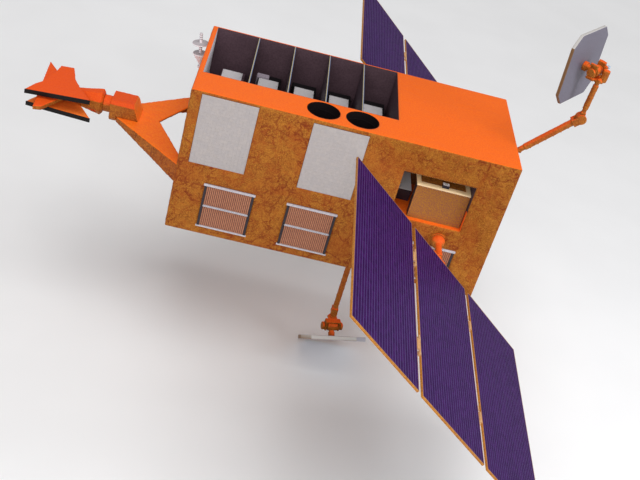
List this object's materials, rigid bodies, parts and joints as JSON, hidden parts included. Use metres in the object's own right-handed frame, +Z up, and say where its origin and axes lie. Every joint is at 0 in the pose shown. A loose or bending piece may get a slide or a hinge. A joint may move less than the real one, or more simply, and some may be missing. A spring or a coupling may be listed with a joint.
{
  "type": "X-ray timing observatory satellite",
  "caption": "X-ray timing satellite: blanketed square body with open detector bay, turning solar wings with folding panels, hinged antenna booms and a scanning sky monitor.",
  "frame": {"origin": "centre of the launch ring at its outer, mating plane", "axes": "+X aft along the body axis, out of the launch ring; +Y along the wings to the far wing; +Z up, out of the face with the detector bay"},
  "size_m": [6.2951, 8.196, 4.9925],
  "materials": {
    "blanket": "crinkled gold film blanket",
    "bay_lining": "satin light grey",
    "detector": "matt dark with a fine grid",
    "detector_base": "matt black",
    "white_box": "white painted",
    "detector_can": "matt black anodised",
    "radiator": "flat warm white thermal paint",
    "louvre_frame": "silver satin",
    "louvre_blade": "fine coppery blades",
    "pocket_box": "brown blanket",
    "pocket_frame": "cream painted",
    "sensor": "light grey painted",
    "ring": "clear anodised, satin",
    "monitor_blanket": "orange film blanket",
    "mask": "matt black",
    "antenna_white": "white painted",
    "drive_metal": "orange film wrap over metal",
    "solar_panel": "violet cells on a thin honeycomb plate",
    "hinge": "cream coated",
    "boom": "gold film wrap over tube",
    "gimbal": "gold film wrap",
    "reflector": "satin lavender grey"
  },
  "bodies": {
    "bus": {"equipment_module": "blanket", "instrument_module": "blanket", "front_beam": "blanket", "far_bay_wall": "blanket", "left_bay_wall": "bay_lining", "bay_dividers": "bay_lining", "detector_modules": "detector", "detector_bases": "detector_base", "detector_electronics": "white_box", "round_detectors": "detector_can", "radiators": "radiator", "louvre_frames": "louvre_frame", "louvre_blades": "louvre_blade", "electronics_box": "pocket_box", "instrument_frame": "pocket_frame", "sun_sensor": "sensor", "tracker_unit": "sensor", "launch_ring": "ring", "monitor_bracket": "blanket", "monitor_drive": "monitor_blanket", "low_gain_mast": "antenna_white", "low_gain_antenna": "antenna_white", "near_array_drive": "drive_metal", "far_array_drive": "drive_metal", "upper_antenna_root": "boom", "lower_antenna_root": "boom"},
    "monitor": {"monitor_shaft": "monitor_blanket", "monitor_hub": "monitor_blanket", "upper_camera": "monitor_blanket", "lower_camera": "monitor_blanket", "side_camera": "monitor_blanket", "camera_spine": "monitor_blanket", "camera_masks": "mask"},
    "near_wing": {"near_array_boom": "drive_metal", "near_centre_panel": "solar_panel", "near_centre_hinges": "hinge"},
    "near_left_wing_panel": {"near_left_panel": "solar_panel", "near_left_hinges": "hinge"},
    "near_right_wing_panel": {"near_right_panel": "solar_panel", "near_right_hinges": "hinge"},
    "far_wing": {"far_array_boom": "drive_metal", "far_centre_panel": "solar_panel", "far_centre_hinges": "hinge"},
    "far_left_wing_panel": {"far_left_panel": "solar_panel", "far_left_hinges": "hinge"},
    "far_right_wing_panel": {"far_right_panel": "solar_panel", "far_right_hinges": "hinge"},
    "upper_antenna_lower_boom": {"upper_antenna_lower_boom": "boom"},
    "upper_antenna_upper_boom": {"upper_antenna_upper_boom": "boom"},
    "upper_antenna_turret": {"upper_antenna_azimuth_gimbal": "gimbal"},
    "upper_antenna_dish": {"upper_antenna_elevation_gimbal": "gimbal", "upper_antenna_reflector": "reflector"},
    "lower_antenna_boom": {"lower_antenna_boom": "boom"},
    "lower_antenna_wrist": {"lower_antenna_knuckle": "boom"},
    "lower_antenna_turret": {"lower_antenna_azimuth_gimbal": "gimbal"},
    "lower_antenna_dish": {"lower_antenna_elevation_gimbal": "gimbal", "lower_antenna_reflector": "reflector"}
  },
  "joints": [
    {"name": "monitor_scan", "type": "hinge", "parent": "bus", "child": "monitor", "pos_m": [-4.8, 0, 0], "axis": [1, 0, 0], "range_deg": [-250, 250]},
    {"name": "near_wing_drive", "type": "hinge", "parent": "bus", "child": "near_wing", "pos_m": [-0.702, -0.93, -0.234], "axis": [0, 1, 0], "continuous": true},
    {"name": "near_left_panel_fold", "type": "hinge", "parent": "near_wing", "child": "near_left_wing_panel", "pos_m": [-1.10973, -2.7, 0.12668], "axis": [0, 1, 0], "range_deg": [0, 180]},
    {"name": "near_right_panel_fold", "type": "hinge", "parent": "near_wing", "child": "near_right_wing_panel", "pos_m": [-0.29426, -2.7, -0.59468], "axis": [0, 1, 0], "range_deg": [0, 180]},
    {"name": "far_wing_drive", "type": "hinge", "parent": "bus", "child": "far_wing", "pos_m": [-0.702, 0.93, -0.234], "axis": [0, 1, 0], "continuous": true},
    {"name": "far_left_panel_fold", "type": "hinge", "parent": "far_wing", "child": "far_left_wing_panel", "pos_m": [-1.10973, 2.7, 0.12668], "axis": [0, 1, 0], "range_deg": [0, 180]},
    {"name": "far_right_panel_fold", "type": "hinge", "parent": "far_wing", "child": "far_right_wing_panel", "pos_m": [-0.29426, 2.7, -0.59468], "axis": [0, 1, 0], "range_deg": [0, 180]},
    {"name": "upper_boom_root", "type": "hinge", "parent": "bus", "child": "upper_antenna_lower_boom", "pos_m": [-0.04, -0.35, 0.868], "axis": [-1, 0, 0], "range_deg": [0, 90]},
    {"name": "upper_boom_elbow", "type": "hinge", "parent": "upper_antenna_lower_boom", "child": "upper_antenna_upper_boom", "pos_m": [0.486, -0.35, 1.437], "axis": [0, 1, 0], "range_deg": [0, 41]},
    {"name": "upper_antenna_azimuth", "type": "hinge", "parent": "upper_antenna_upper_boom", "child": "upper_antenna_turret", "pos_m": [0.5, -0.35, 1.91], "axis": [0, 0, 1], "range_deg": [-135, 135]},
    {"name": "upper_antenna_elevation", "type": "hinge", "parent": "upper_antenna_turret", "child": "upper_antenna_dish", "pos_m": [0.44424, -0.30769, 2.006], "axis": [0.6045, 0.7966, 0], "range_deg": [-7, 90]},
    {"name": "lower_boom_root", "type": "hinge", "parent": "bus", "child": "lower_antenna_boom", "pos_m": [-1.526, -0.4, -1.04], "axis": [0, 1, 0], "range_deg": [0, 90]},
    {"name": "lower_boom_wrist", "type": "hinge", "parent": "lower_antenna_boom", "child": "lower_antenna_wrist", "pos_m": [-1.526, -0.4, -1.96], "axis": [0, 1, 0], "range_deg": [-90, 0]},
    {"name": "lower_antenna_azimuth", "type": "hinge", "parent": "lower_antenna_wrist", "child": "lower_antenna_turret", "pos_m": [-1.526, -0.4, -2.036], "axis": [0, 0, 1], "range_deg": [-135, 135]},
    {"name": "lower_antenna_elevation", "type": "hinge", "parent": "lower_antenna_turret", "child": "lower_antenna_dish", "pos_m": [-1.50747, -0.4675, -2.132], "axis": [0.9643, 0.2647, 0], "range_deg": [-60, 40]}
  ],
  "couplings": [
    {"joint": "lower_boom_wrist", "follows": "lower_boom_root", "ratio": -1}
  ]
}
